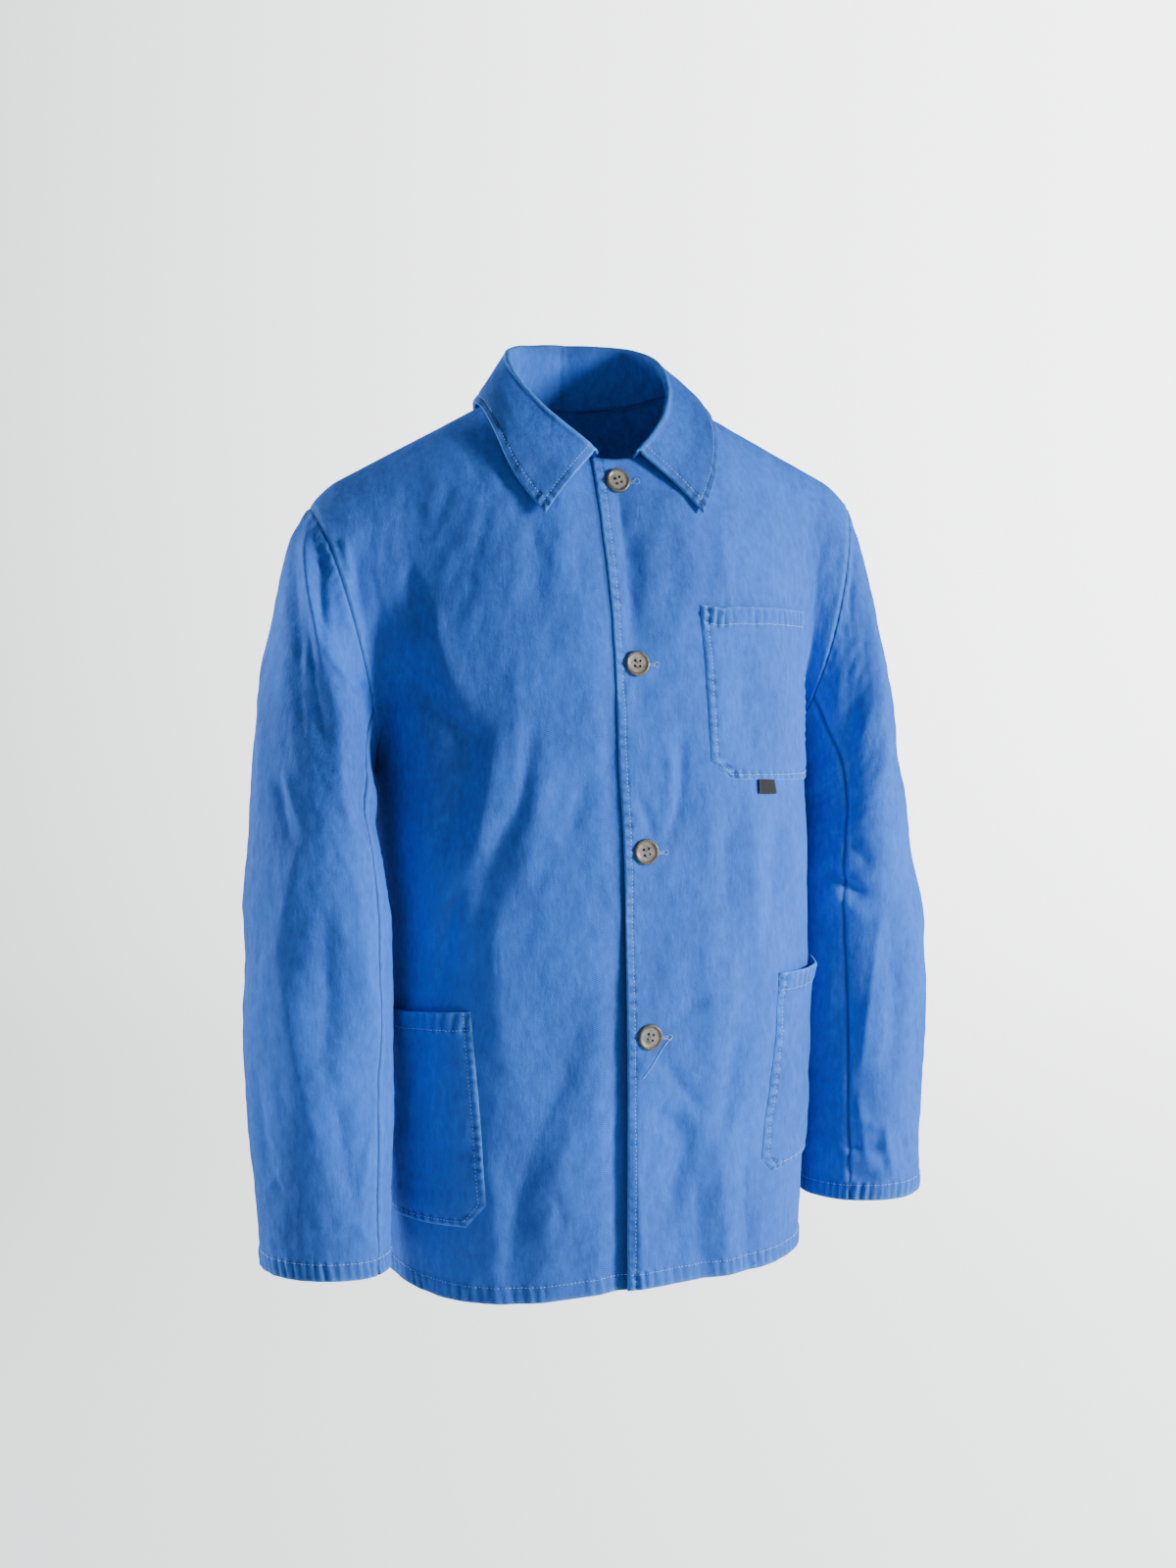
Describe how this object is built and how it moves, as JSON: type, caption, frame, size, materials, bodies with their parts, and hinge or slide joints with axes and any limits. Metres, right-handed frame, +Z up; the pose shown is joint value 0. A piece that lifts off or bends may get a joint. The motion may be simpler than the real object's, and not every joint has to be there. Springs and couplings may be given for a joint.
{
  "type": "chore jacket",
  "caption": "Blue cotton work jacket in its worn shape, buttoned, with a pointed fall collar, two-piece sleeves, a chest pocket and patch pockets low on the fronts.",
  "frame": {"origin": "middle of the neck base, level with the high points of the shoulders, where the wearer's shoulders carry the jacket", "axes": "+Z up, -Y the front of the jacket, +X the wearer's left"},
  "size_m": [0.6398, 0.2696, 0.7958],
  "materials": {
    "blue_cloth": "washed matt cotton twill with faded edges",
    "black_tape": "matt woven tape",
    "horn_button": "satin, mottled grey-brown"
  },
  "bodies": {
    "root": {"back": "blue_cloth", "front_right": "blue_cloth", "front_left": "blue_cloth", "collar": "blue_cloth", "sleeve_top_right": "blue_cloth", "sleeve_under_right": "blue_cloth", "sleeve_top_left": "blue_cloth", "sleeve_under_left": "blue_cloth", "pocket_chest": "blue_cloth", "pocket_lower_right": "blue_cloth", "pocket_lower_left": "blue_cloth", "label_tab": "black_tape", "button_1": "horn_button", "button_2": "horn_button", "button_3": "horn_button", "button_4": "horn_button"}
  },
  "joints": []
}
